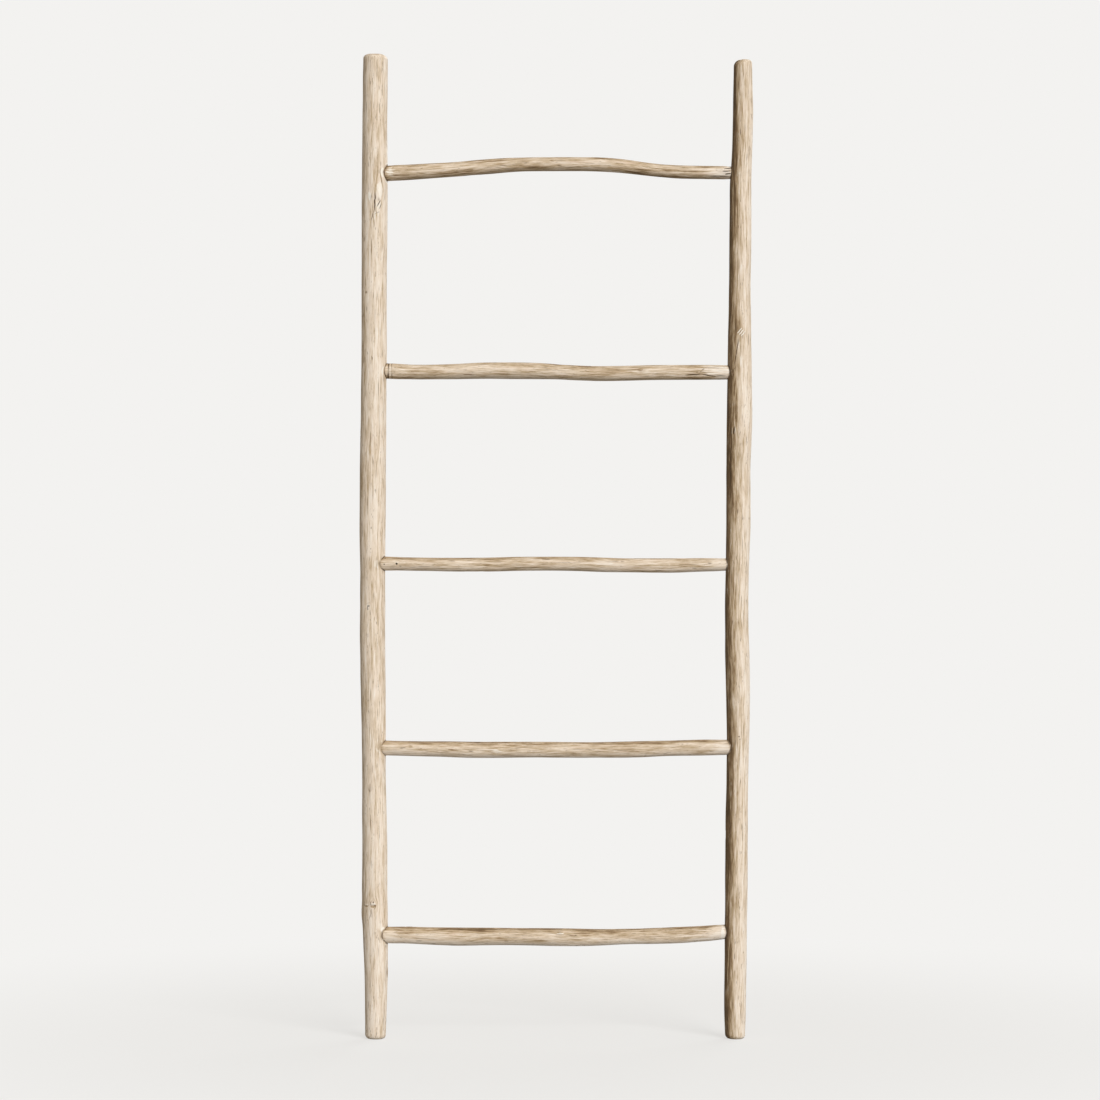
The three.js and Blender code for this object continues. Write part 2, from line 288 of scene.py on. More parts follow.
class Skin:
    """How far the surface stands out at each place, and the marks on it."""

    def __init__(self, branch, s, angle):
        self.branch, self.s, self.angle = branch, s, angle
        self.r = branch.radius(s)
        self.out = np.zeros_like(s)  # mm
        self.tone = np.zeros_like(s)  # below 0 tan, above 0 pale
        # white also carries painted highlight on a healed knot's raised lips
        self.white = np.zeros_like(s)  # fresh, chipped or chalky wood
        # dark also carries painted shade in joint gaps, under splinters and along a stile's shaded
        # side
        self.dark = np.zeros_like(s)  # cracks and holes
        self.knot = np.zeros_like(s)
        self.shift = np.zeros_like(s)  # how far the grain is pushed round the branch, mm

    def noise(self, number, length, around):
        return field(self.branch.seed + number, self.s, self.angle, length, around)

    def side(self, degrees, width):
        """1 on one side of the branch, fading to 0 round it over about width radians."""
        return bell(wrapped(self.angle - math.radians(degrees)) / width)

    def darken(self, amount):
        self.dark = np.maximum(self.dark, amount)

    def around(self, s, degrees, length, width):
        """Distance round the branch from a place, and from its middle in lengths and widths."""
        du = wrapped(self.angle - math.radians(degrees)) * self.r
        return du, np.hypot(du / width, (self.s - s) / length)

    def beside(self, start, end):
        """Distance round the branch from a line between two places, and how open it is there."""
        (s0, a0), (s1, a1) = start, end
        t = (self.s - s0) / (s1 - s0)
        inside = (t > 0) & (t < 1)
        t = np.clip(t, 0, 1)
        du = wrapped(self.angle - np.radians(a0 + (a1 - a0) * t)) * self.r
        return du, np.sqrt(np.sin(math.pi * t)) * inside

    def patch(self, s, degrees, length, width, tone=0.0, white=0.0, out=0.0, edge=0.9, ragged=0.7):
        """A blotch that frays along the grain, length and width from its middle to its edge."""
        _, r = self.around(s, degrees, length, width)
        r = r + ragged * self.noise(41, length * 0.6 + 5, 38) * (r < 3)
        mask = smooth((1 + edge / 2 - r) / edge)
        self.tone += 0.62 * tone * mask
        self.white += white * mask
        self.out += out * mask

    def crack(self, start, end, width, depth, dark=1.0, wander=0.6, lip=0.0):
        """A split from (s, degrees) to (s, degrees), open in the middle and closed at its ends."""
        du, open_ = self.beside(start, end)
        seed = self.branch.seed + int(abs(start[0]))
        du = du + wander * field(seed, self.s, du * 0, 5, 3)
        line = bell(du / width) * open_
        self.out -= depth * line
        self.darken(dark * line)
        raised = lip * bell((np.abs(du) - 2 * width) / width) * open_
        self.out += raised
        self.white += 1.5 * raised

    def bump(self, s, degrees, length, width, out):
        self.out += out * bell(self.around(s, degrees, length, width)[1])

    def ridge(self, start, end, width, out, white=0.8):
        """A thin raised splinter with a groove under it, darkened as painted shadow."""
        du, open_ = self.beside(start, end)
        line = bell(du / width) * open_
        under = bell((du + 1.8 * width) / (0.8 * width)) * open_
        self.out += out * line - 0.5 * out * under
        self.white += white * line
        # painted shadow under the splinter
        self.darken(0.5 * under)

    def knot_at(
        self, s, degrees, length, width, rise=0.5, sink=0.4, tone=1.0, white=0.0, reach=3.0
    ):
        """A grown-over branch: a raised eye with a groove round it. The grain flows past it."""
        du, r = self.around(s, degrees, length, width)
        r = r * (1 + 0.07 * self.noise(43, 7, 22) * (r < 4))
        far = np.maximum(r, 1)
        self.shift -= 0.8 * du / far**2 * bell((far - 1) / reach)
        self.out += rise * bell(r / 1.4)
        self.out -= sink * (bell((r - 1) / 0.22) + 0.8 * bell(r / 0.35))
        self.knot = np.maximum(self.knot, tone * smooth((1.15 - r) / 0.3))
        self.white += white * smooth((1.05 - r) / 0.3)
        ring = bell((r - 1) / 0.14) * (0.55 + 0.45 * self.noise(44, 5, 20))
        self.darken(0.55 * max(tone, white) * ring)
        self.darken(0.8 * tone * bell(r / 0.3))

    def hole(self, s, degrees, radius, depth):
        """A round insect hole."""
        _, r = self.around(s, degrees, radius, radius)
        self.out -= depth * smooth((1.15 - r) / 0.4)
        self.darken(smooth((1.5 - r) / 0.5))
        self.white += 0.25 * bell((r - 1.9) / 0.5)

    def ring(self, s, width, depth, tilt, dark, part):
        """A groove that runs round the branch, deeper in some places than in others."""
        at = s + tilt * np.sin(self.angle) + 0.35 * self.noise(45, 300, 9)
        line = bell((self.s - at) / width) * (1 - part + part * self.noise(46, 400, 7))
        self.out -= depth * line
        self.darken(dark * line)


def worn_wood(skin, rough=1.0):
    """The uneven shape that any peeled and sanded branch has."""
    n, a = skin.noise, skin.angle
    turn = 0.9 * n(1, 260, 1)
    skin.out += 0.35 * np.cos(2 * (a + turn)) + 0.15 * np.cos(3 * (a - turn))
    skin.out += 0.5 * n(2, 70, 3) + 0.25 * n(3, 34, 6)
    skin.out += 0.16 * rough * n(4, 60, 16)
    skin.out += rough * (0.10 * n(5, 42, 34) + 0.07 * n(6, 24, 62))
    grooves = np.clip(n(7, 55, 24) - 0.55, 0, 1) * np.clip(n(8, 90, 6) + 0.3, 0, 1)
    skin.out -= 0.7 * rough * grooves
    skin.darken(0.35 * smooth(grooves * 3))
    skin.tone += 0.3 * n(9, 110, 5) + 0.25 * n(10, 60, 12) + 0.25 * n(11, 36, 28)
    skin.shift += 1.4 * n(12, 110, 3)


BACK = (85, 275)  # degrees round a branch, away from the front
JOINT_CLEAR = 26


def scattered(skin, low, high, keep_clear, counts):
    """Small knots, splits and chips at seeded places, away from the front, whose marks are listed
    one by one.
    """
    rng = np.random.default_rng(skin.branch.seed + 7)
    knots, splits, chips, stains = counts
    around = skin.branch.radius(np.array([(low + high) / 2]))[0]

    def place():
        while True:
            s, degrees = rng.uniform(low, high), rng.uniform(*BACK)
            if all(abs(s - c) > JOINT_CLEAR for c in keep_clear):
                return s, degrees

    for _ in range(knots):
        s, degrees = place()
        size = rng.uniform(0.16, 0.4) * around
        skin.knot_at(s, degrees, size * rng.uniform(1.2, 1.7), size, 0.5, 0.35, rng.uniform(0.5, 1))
        tail = s + rng.uniform(-1, 1) * 22
        skin.crack((s, degrees), (tail, degrees + rng.uniform(-8, 8)), 0.5, 0.4, 0.7)
    for _ in range(splits):
        s, degrees = place()
        length = rng.uniform(18, 85)
        skin.crack((s, degrees), (s + length, degrees + rng.uniform(-9, 9)), 0.55, 0.7, 0.85)
    for _ in range(chips):
        s, degrees = place()
        skin.patch(s, degrees, rng.uniform(5, 15), rng.uniform(1.5, 4), 0.3, 0.5, -0.25, 0.3, 0.5)
    for _ in range(stains):
        s, degrees = place()
        skin.patch(s, degrees, rng.uniform(16, 45), rng.uniform(3, 7), -0.8, 0, 0, 0.9, 0.5)


def small_ticks(skin, low, high, count):
    """Short fine splits at seeded places all over, the front included."""
    rng = np.random.default_rng(skin.branch.seed + 8)
    for _ in range(count):
        s, degrees = rng.uniform(low, high), rng.uniform(-180, 180)
        length = rng.uniform(3, 14)
        end = (s + length, degrees + rng.uniform(-4, 4))
        skin.crack((s, degrees), end, 0.6, 0.3, rng.uniform(0.4, 1.05), 0.3)


def left_stile_marks(skin):
    # painted shade: the side away from the light is darkened
    skin.tone -= 1.1 * skin.side(-88, 0.55)
    # the grown-over branch below the top rung, with its torn lower edge
    skin.knot_at(1290, 22, 16, 6.2, 0.9, 0.25, 0.0, 0.3, 2.2)
    each(
        skin.patch,
        (1291, 22, 12, 4.5, 0.8, 0.2), (1308, 8, 16, 4.5, -1.2), (1268, 16, 9, 4.0, 0.4, 0.3),
        (1272, 34, 12, 2.5, -0.9), (1252, -4, 14, 3.5, -0.8), (1283, -22, 8, 2.4, 0.3, 0.6, 0.1),
        (1238, 28, 14, 2.5, -0.7),
    )
    each(
        skin.crack,
        ((1291, 0), (1257, 5), 0.9, 1.0, 1.3, 0.8, 0.25),
        ((1277, 30), (1266, 12), 0.8, 0.8, 1.2, 0.5, 0.2),
        ((1273, 36), (1262, 22), 0.7, 0.7, 1.0, 0.5, 0.2),
        ((1259, 26), (1255, 2), 0.9, 0.9, 1.2, 0.3, 0.2),
        ((1288, -12), (1274, -16), 0.6, 0.5, 0.9, 0.4),
        ((1262, -3), (1242, -14), 0.7, 0.6, 0.9, 0.8, 0.2),
    )
    each(skin.ridge, ((1254, 28), (1252, -4), 1.2, 0.6, 1.0), ((1262, 6), (1240, -2), 0.8, 0.35))
    # stains and pale patches, mostly from the top down
    each(
        skin.patch,
        (1474, 12, 18, 3.6, -1.2), (1452, -28, 14, 3.0, -0.7), (1404, -20, 17, 4.5, -1.3),
        (1384, 22, 14, 2.8, -0.8), (1345, -35, 22, 4.0, -0.8), (1214, 40, 10, 1.1, -1.6, 0, 0, 0.6),
        (1225, -18, 22, 4.0, -0.8), (1080, -46, 60, 3.6, -1.0), (1160, 18, 34, 4.0, 0.7),
        (1020, 12, 40, 5.0, 0.8), (916, -17, 33, 4.4, -1.2), (842, -58, 28, 4.0, -1.0),
        (880, 34, 22, 3.0, 0.6), (700, -10, 30, 4.0, -0.7), (560, 20, 36, 5.0, 0.7),
        (500, -25, 34, 4.0, -0.8), (300, 10, 34, 4.0, -0.6), (90, -20, 36, 4.5, -0.6),
        (120, 26, 30, 4.0, 0.8),
    )
    # small knots, pin holes and ticks
    each(skin.knot_at, (1136.5, -37, 1.8, 1.4, 0.2, 0.3, 1.0), (383, -18, 6, 3.6, 0.5, 0.25, 0.35))
    each(
        skin.crack,
        ((780.5, -5), (776, -5), 0.6, 0.4, 0.9, 0.1),
        ((661.6, -33), (665.4, -10), 1.6, 0.3, 0.5, 0.1),
        ((394, -15), (374, -22), 0.5, 0.4, 0.6, 0.8),
    )
    each(
        skin.patch,
        (658, -16, 6, 3.4, 0.8, 0.35, 0.1, 0.7, 0.3), (666, -15, 2.6, 1.3, 0.5, 0.5, 0.1, 0.5, 0.2),
    )
    each(skin.hole, (659.3, -20, 0.9, 0.8), (659.5, -14, 0.75, 0.6), (655.2, -20, 0.6, 0.5))
    # a healed knot: a dark eye, a pale lip below it and a hollow under the lip, with a second lip
    # and hollow beside them; the lips are lightened as painted highlight and the hollows darkened
    # as painted shade
    each(
        skin.patch,
        (212, -18, 9, 5.0, -0.7), (206.6, -5, 1.7, 5.0, 0.9, 0.55, 0.6, 0.6, 0.12),
        (202.6, -5, 2.1, 4.2, -2.8, 0, -0.5, 0.6, 0.12),
        (205.6, -37, 1.5, 3.6, 0.7, 0.4, 0.4, 0.6, 0.12),
        (203, -38, 1.4, 3.8, -2.2, 0, -0.3, 0.6, 0.12),
    )
    skin.knot_at(206, -5, 6.0, 5.0, 0.7, 0.2, 0.15)
    skin.hole(209.3, -3, 0.85, 0.6)
    each(
        skin.crack,
        ((199, -8), (180, -30), 0.7, 0.5, 0.7, 0.8, 0.15),
        ((200, -32), (182, -50), 0.6, 0.4, 0.6, 0.8),
    )
    # pale wood beside two joints, and a low swelling on the side
    each(
        skin.patch,
        (173, 34, 6, 6.5, 1.0, 0.38, 0, 0.8, 0.5), (151, 22, 12, 4.0, 0.8, 0.15),
        (1022, 24, 14, 5.0, 0.6, 0.2),
    )
    skin.bump(190, -84, 13, 9, 1.1)
    skin.crack((1.5, 5), (16, 7), 0.5, 0.5, 0.9, 0.3)


def right_stile_marks(skin):
    # painted shade: the side away from the light is darkened to olive-brown, with some weathered
    # tone of the wood itself
    shade = skin.side(-74, 1.05)
    skin.tone -= (2.85 + 0.5 * skin.noise(21, 120, 4)) * shade
    # painted shade: a darker band along the edge furthest from the light
    edge = skin.side(-92, 0.5)
    skin.darken((0.37 + 0.12 * skin.noise(22, 90, 9)) * edge)
    # the ridged scar and the line that runs from it
    skin.patch(1077, 5, 11, 6.0, -0.9)
    for i in (-1, 0, 1):
        s, degrees = 1076 - 2.2 * i, 6 + 9 * i
        skin.ridge((s + 4.5, degrees + 12), (s - 4.5, degrees - 12), 1.0, 0.6, 1.3)
    each(
        skin.crack,
        ((1071, -4), (1020, -34), 0.75, 0.7, 1.1, 0.4, 0.1),
        ((1026, -16), (1015, -38), 0.6, 0.5, 0.9, 0.3),
        ((1022, -40), (1006, -34), 0.8, 0.8, 1.1, 0.4, 0.25),
    )
    skin.knot_at(1014, -36, 3.6, 2.6, 0.8, 0.6, 1.0)
    skin.patch(1030, 4, 16, 2.0, 0.5, 0.55)
    # chalky wood on the side towards the light
    each(
        skin.patch,
        (1036, 26, 14, 2.6, 0.7, 0.3), (1000, 24, 30, 2.5, 0.8, 0.1), (541, 22, 14, 3.5, 0.9, 0.25),
        (272, 22, 36, 4.0, 0.9, 0.22),
    )
    # gouges, dark streaks, stains, pale patches and pin holes
    each(
        skin.crack,
        ((933, -27), (919, -31), 1.2, 1.0, 1.2, 0.2, 0.3),
        ((926, -40), (848, -50), 0.9, 0.7, 0.9, 1.0), ((352, -42), (262, -50), 0.9, 0.7, 0.85, 1.0),
    )
    each(
        skin.patch,
        (886, -46, 42, 3.0, -1.4), (305, -46, 48, 3.0, -1.2), (1099, -22, 26, 4.5, -1.1),
        (816, -20, 22, 4.0, -1.0), (1250, 25, 14, 4.0, -0.5), (1478, -4, 13, 2.5, -0.8),
        (1300, -30, 70, 4.0, -0.7), (1170, 16, 40, 4.0, 0.7), (960, 30, 44, 4.0, 0.7),
        (690, 20, 44, 4.5, 0.8), (600, -25, 40, 4.0, -0.7), (420, 24, 40, 4.0, 0.6),
        (130, -28, 44, 4.0, -0.7), (90, 22, 40, 4.0, 0.6),
    )
    each(skin.hole, (461, 2, 0.8, 0.6), (457, 7, 0.7, 0.5))
    specks = ((232, 5), (226, 14), (219, -4), (212, 9), (204, 17), (197, 2))
    for i, (s, degrees) in enumerate(specks):
        skin.crack((s, degrees), (s - 5, degrees + 1), 0.55, 0.3, 0.7 - 0.05 * i, 0.2)


def top_rung_marks(skin):
    left, right = shoulders("top_rung")
    skin.patch(left + 4, 10, 5, 9, 0.6, 0.5, 0.1, 0.3, 0.9)
    each(
        skin.crack,
        ((left - 2, 60), (left + 5, 52), 1.0, 0.9, 1.0, 0.2),
        ((left - 2, -62), (left + 6, -55), 1.0, 0.9, 1.0, 0.2),
    )
    for degrees, start in ((-40, 34), (-12, 10), (14, 14), (40, 12)):
        skin.crack((right - start, degrees - 9), (right, degrees), 0.9, 0.7, 1.3, 0.4)
    for degrees, start in ((-22, 40), (4, 16), (27, 24)):
        skin.ridge((right - start, degrees - 4), (right, degrees), 1.1, 0.35, 0.4)
    each(
        skin.patch,
        (right - 20, -8, 20, 5, 1.3, 0.12), (61, 5, 14, 5, 0.8, 0.25), (-140, -12, 30, 4, -0.9),
        (-60, 14, 36, 3.5, -0.7), (-20, -30, 44, 3.0, -1.0), (110, -20, 34, 3.5, -0.9),
        (190, 12, 30, 3.5, -0.7),
    )
    each(skin.crack, ((-95, -8), (-52, -2), 0.5, 0.4, 0.7), ((130, 12), (182, 6), 0.5, 0.4, 0.7))
    skin.knot_at(-6, 24, 2.6, 1.7, 0.3, 0.3, 0.8)


def upper_rung_marks(skin):
    left, right = shoulders("upper_rung")
    each(skin.ring, (left + 2.4, 1.35, 1.1, 0.4, 1.3, 0.4), (left + 7.4, 0.95, 0.8, -0.5, 1.0, 0.4))
    each(
        skin.patch,
        (left + 5, 0, 1.6, 14, 0.5, 0.35), (right - 20, 16, 23, 7.5, 1.3, 0.3, 0.5, 0.3, 0.35),
        (right - 30, -52, 24, 3.5, -1.6), (right - 9, -42, 7, 3.0, 0.6, 0.3, 0.3),
        (-190, -8, 30, 4, -0.8), (-110, 16, 40, 4, 0.6), (-60, -16, 34, 3.5, -0.9),
        (30, -28, 44, 3.5, -0.9), (90, 10, 34, 4, -0.6),
    )
    each(
        skin.crack,
        ((right - 66, -26), (right - 38, -16), 1.0, 0.8, 1.2, 0.3),
        ((right - 42, -14), (right - 14, -44), 1.0, 0.9, 1.1, 0.4),
        ((right - 44, -12), (right - 34, 34), 1.5, 0.5, 0.7, 0.4),
        ((right - 18, -30), (right - 2, -28), 0.7, 0.6, 0.8, 0.4),
        ((-30, 12), (22, 5), 0.5, 0.4, 0.7),
    )
    skin.knot_at(128, 26, 3, 2, 0.4, 0.3, 0.7)


def middle_rung_marks(skin):
    left, _ = shoulders("middle_rung")
    each(skin.hole, (-243, 0, 1.25, 2.2), (left + 0.8, 52, 0.9, 0.8), (left - 0.5, -6, 0.8, 0.7))
    each(
        skin.patch,
        (-150, 2, 50, 4, 0.6), (-60, -20, 40, 3.5, -0.8), (60, 8, 40, 4, 0.5),
        (140, -16, 30, 3.5, -0.8), (205, 10, 26, 4, -0.5),
    )
    skin.crack((-10, 6), (40, 12), 0.5, 0.4, 0.7)
    skin.knot_at(100, 30, 2.4, 1.6, 0.3, 0.3, 0.7)


def lower_rung_marks(skin):
    each(
        skin.patch,
        (-92, 0, 7, 4, 0.9, 0.5), (-180, -14, 36, 3.5, -0.9), (-30, 10, 44, 4, 0.6),
        (40, -24, 44, 3.5, -0.9), (120, 8, 34, 4, -0.6), (200, -10, 30, 4, -0.8),
    )
    each(skin.crack, ((-140, 8), (-112, 12), 0.5, 0.4, 0.7), ((60, 2), (120, -4), 0.5, 0.4, 0.7))
    skin.knot_at(-222, 18, 2.6, 1.8, 0.3, 0.3, 0.8)


def bottom_rung_marks(skin):
    left, right = shoulders("bottom_rung")
    skin.patch(left + 3, -5, 11, 12, 1.3, 0.12, 0, 0.8, 0.4)
    # the stub of a twig that was cut off
    skin.bump(5.6, 40, 7, 6, 1.5)
    skin.knot_at(5.6, 40, 4.2, 3.6, 0.9, 0.5, 0.45, 0.35)
    skin.ridge((-1, 24), (13, 26), 0.9, 0.35, 1.0)
    skin.crack((13, 22), (32, 14), 0.6, 0.5, 0.9)
    # splits, stains and pale patches
    each(
        skin.patch,
        (right - 3, 0, 3, 10, 0.5, 0.8, 0.2, 0.3, 0.5), (-190, 6, 36, 5, 0.6),
        (-110, -14, 44, 4, -0.8), (-40, -26, 34, 4, -0.8), (70, -4, 30, 5, 0.6),
        (110, 22, 34, 4, -0.8), (190, -20, 34, 4, -0.8),
    )
    each(skin.crack, ((-80, 12), (-28, 18), 0.5, 0.4, 0.75), ((120, -6), (176, 0), 0.5, 0.4, 0.75))


MARKS = {
    "left_stile": left_stile_marks,
    "right_stile": right_stile_marks,
    "top_rung": top_rung_marks,
    "upper_rung": upper_rung_marks,
    "middle_rung": middle_rung_marks,
    "lower_rung": lower_rung_marks,
    "bottom_rung": bottom_rung_marks,
}

# the tone of each rung's upper and lower side
SIDE_TONES = {
    "top_rung": (-0.9, -0.8),
    "upper_rung": (-0.8, -0.1),
    "middle_rung": (-0.9, 0.4),
    "lower_rung": (-1.2, 0.6),
    "bottom_rung": (-1.4, 1.2),
}

WHITTLED = 26  # the knife marks of a rung end reach this far from the stile


def mouth_wear_and_painted_shadow(skin, points):
    """Painted shadow round each mortise of a stile: a dark line in the gap and darker wood round
    the mouth, with pale chips at the left stile's mouths.
    """
    x = points[..., 0] - skin.branch.centre(skin.s)[0]
    for joint in joints_of(skin.branch.node):
        inner = smooth(-joint.sign * x / 4)
        away = np.hypot(points[..., 1] - joint.y, points[..., 2] - joint.z) - joint.radius
        away = away - MORTISE_FIT - 0.45 * joint.worn
        line = bell((away - 0.2) / 0.8) * inner * (0.7 + 0.3 * skin.noise(51, 4, 40))
        # painted shadow in the gap round the rung
        skin.darken(0.75 * line)
        # painted shade on the wood round the mouth
        skin.tone -= 0.5 * bell(away / 3.5) * inner
        chip = bell((away - 2.5) / 1.6) * inner * smooth(skin.noise(53, 7, 18) * 2 + 0.2)
        skin.white += (0.3 + 0.6 * joint.worn) * chip * (joint.sign < 0)


def outside(points):
    """How far points lie outside the nearer stile."""
    flat = points.reshape(-1, 3)
    stiles = [branches[node] for node in STILES]
    gaps = [stile.place(flat)[2] - stile.radius(flat[:, 2]) for stile in stiles]
    return np.minimum(*gaps).reshape(points.shape[:-1])


def stile_skin(skin, points):
    """All that is on a stile: worn mortises with painted shadow round them, seeded marks and the
    ones listed one by one.
    """
    branch = skin.branch
    mouth_wear_and_painted_shadow(skin, points)
    clear = [joint.z for joint in joints_of(branch.node)]
    scattered(skin, 40, branch.high - 60, clear, (5, 12, 12, 12))
    small_ticks(skin, 10, branch.high - 20, 70)
    MARKS[branch.node](skin)


def rung_skin(skin, points):
    """All that is on a rung. It is whittled, and has a dark seam of painted shadow where it enters
    each stile.
    """
    node, s = skin.branch.node, skin.s
    left, right = shoulders(node)
    near = outside(points)
    scattered(skin, left + 30, right - 60, [], (2, 6, 5, 5))
    small_ticks(skin, left + 6, right - 20, 34)
    above, below = SIDE_TONES[node]
    skin.tone += above * skin.side(80, 0.8) + below * skin.side(-70, 0.8)
    skin.tone += (1.3 + 0.4 * skin.noise(32, 20, 9)) * bell((right - 4 - s) / 16)
    skin.white += 0.19 * bell((right + 1 - s) / 11)
    cuts = np.abs(np.sin(5.5 * skin.angle + 0.6 * skin.noise(31, 60, 5)))
    skin.out -= 0.45 * (1 - cuts) ** 2 * bell((near - 9) / 9)
    MARKS[node](skin)
    calm = 0.25 + 0.75 * smooth(near / WHITTLED)
    skin.out *= np.where(near < -1, 0, calm)
    # painted shadow along the seam at each stile, and darker wood beside it
    skin.darken(bell((near + 0.1) / 0.85) * (0.8 + 0.2 * skin.noise(52, 6, 18)))
    skin.tone -= 0.6 * bell(near / 2.5)
    in_sight = smooth((near + 3) / 2)
    for values in (skin.tone, skin.white, skin.dark, skin.knot):
        values *= in_sight


def skin_of(branch, s, angle):
    skin = Skin(branch, s, angle)
    worn_wood(skin)
    dress = stile_skin if branch.node in STILES else rung_skin
    dress(skin, branch.point(s, angle, skin.r))
    return skin


# ---- Meshes --------------------------------------------------------------------------------

STILE_SEGMENTS = 152
RUNG_SEGMENTS = 112
STILE_STEPS = (3.2, 1.2)  # between rings, coarse and fine
RUNG_STEPS = (2.4, 0.7)

# Stretches with fine marks, as (place, reach).
FINE = {
    "left_stile": [(1275, 38), (1136, 5), (778, 5), (660, 10), (383, 12), (192, 22)],
    "right_stile": [(1045, 42), (890, 48), (459, 6), (307, 50), (214, 22)],
    "top_rung": [(61, 14)],
    "upper_rung": [(200, 34)],
    "middle_rung": [(-243, 6)],
    "lower_rung": [],
    "bottom_rung": [(10, 24)],
}


def stations(low, high, coarse, fine, places):
    """Where the rings go: coarse steps, and fine ones near the places given as (s, reach)."""
    s, out = low, [low]
    while s < high:
        near = any(abs(s - place) < reach for place, reach in places)
        s += fine if near else coarse
        out.append(min(s, high))
    if len(out) > 2 and out[-1] - out[-2] < 0.3 * fine:
        del out[-2]
    return np.array(out)


def tube(rings, flip=False):
    """The points and faces of rings, closed at each end by a point in the middle of its ring."""
    count, around = rings.shape[:2]
    middle = [rings[0].mean(0), rings[-1].mean(0)]
    points = np.concatenate([rings.reshape(-1, 3), middle]) * MM
    start = np.arange(count - 1)[:, None] * around
    j = np.arange(around)
    n = (j + 1) % around
    quads = np.stack([start + j, start + n, start + around + n, start + around + j], -1)
    first = np.full(around, count * around)
    last = (count - 1) * around
    low, high = np.stack([first, n, j], -1), np.stack([first + 1, last + j, last + n], -1)
    faces = [quads.reshape(-1, 4), np.concatenate([low, high])]
    return points, [face[:, ::-1] for face in faces] if flip else faces


def mesh_of(name, points, groups):
    """A mesh from points in metres and arrays of faces."""
    mesh = bpy.data.meshes.new(name)
    corners = np.concatenate([g.ravel() for g in groups]).astype(np.int32)
    sizes = np.concatenate([np.full(len(g), g.shape[1]) for g in groups])
    mesh.vertices.add(len(points))
    mesh.vertices.foreach_set("co", points.astype(np.float32).ravel())
    mesh.loops.add(len(corners))
    mesh.loops.foreach_set("vertex_index", corners)
    mesh.polygons.add(len(sizes))
    mesh.polygons.foreach_set("loop_start", (np.cumsum(sizes) - sizes).astype(np.int32))
    mesh.update(calc_edges=True)
    mesh.validate()
    return mesh


def link(mesh, name):
    piece = bpy.data.objects.new(name, mesh)
    bpy.context.scene.collection.objects.link(piece)
    return piece


# The wear of each stile's foot and top, against the CAD's: its mean, how much more there is on
# the most worn side, and where that is in degrees.
WORN_ENDS = {
    "left_stile": ((1.0, 0.12, -90), (0.95, 0.15, 90)),
    "right_stile": ((1.0, 0.12, -90), (0.85, 0.25, -90)),
}


def end_wear(wear, angle):
    mean, more, degrees = wear
    return mean + more * np.cos(angle - math.radians(degrees))


def stile_mesh(branch):
    """Rings from the middle of the foot, round its worn edge, up the side and over the top."""
    foot, top = WORN_ENDS[branch.node]
    side_low = branch.low + branch.foot_round * (foot[0] + foot[1])
    side_high = branch.high - branch.top_round * (top[0] + top[1])
    places = [(joint.z, 15) for joint in joints_of(branch.node)]
    places += [(side_low, 8), (side_high, 8)] + FINE[branch.node]
    s = stations(side_low, side_high, *STILE_STEPS, places)
    angle = whole_turn(STILE_SEGMENTS)
    bend = np.linspace(0, math.pi / 2, 10)[1:, None]
    cap = np.array([[0.25], [0.5], [0.72], [0.88]])

    def edge(at_s, size):
        """Share of the radius, and distance from the end, of each point of a worn edge."""
        share = 1 - size * (1 - np.cos(bend)) / branch.radius(at_s)
        return share, size * (1 - np.sin(bend))

    low_share, low_up = edge(s[:1], branch.foot_round * end_wear(foot, angle))
    high_share, high_down = edge(s[-1:], branch.top_round * end_wear(top, angle))
    bands = [
        (cap * low_share[-1], branch.low),
        (low_share[::-1], branch.low + low_up[::-1]),
        (1.0, s[:, None]),
        (high_share, branch.high - high_down),
        (cap[::-1] * high_share[-1], branch.high),
    ]
    bands = [np.broadcast_arrays(*band, angle) for band in bands]
    share, at, angle = (np.concatenate(parts) for parts in zip(*bands))
    r = share * (branch.radius(at) + skin_of(branch, at, angle).out)
    rings = branch.point(at, angle, r)
    on_top = (at > side_high) * smooth((at - side_high) / branch.top_round)
    rough = 0.5 * field(branch.seed + 60, r, angle, 7, 7)
    rough += 0.12 * field(branch.seed + 61, r, angle, 2, 40)
    rings[..., 2] -= on_top * (0.25 + rough)
    return mesh_of(branch.node, *tube(rings))


def rung_mesh(branch):
    """Rings from one tenon tip to the other."""
    left, right = shoulders(branch.node)
    places = [(left + 6, 12), (right - 6, 12)] + FINE[branch.node]
    ends = branch.low + branch.chamfer, branch.high - branch.chamfer
    s = stations(*ends, *RUNG_STEPS, places)
    cap = np.array([0.4, 0.75, 1.0])
    low_tip, high_tip = 1 - branch.chamfer / branch.radius(s[[0, -1]])
    share = np.concatenate([cap * low_tip, np.ones_like(s), cap[::-1] * high_tip])
    place = np.concatenate([cap * 0 + branch.low, s, cap * 0 + branch.high])
    at, angle = np.meshgrid(place, whole_turn(RUNG_SEGMENTS), indexing="ij")
    r = share[:, None] * (branch.radius(at) + skin_of(branch, at, angle).out)
    return mesh_of(branch.node, *tube(branch.point(at, angle, r), True))


# ---- Mortises and peg holes ----------------------------------------------------------------


def cutter(name, bodies):
    """One object of several closed tubes, each given as its rings and whether to flip it."""
    points, groups, base = [], [], 0
    for rings, flip in bodies:
        body, faces = tube(rings, flip)
        points.append(body)
        groups += [face + base for face in faces]
        base += len(body)
    return link(mesh_of(name, np.concatenate(points), groups), name)


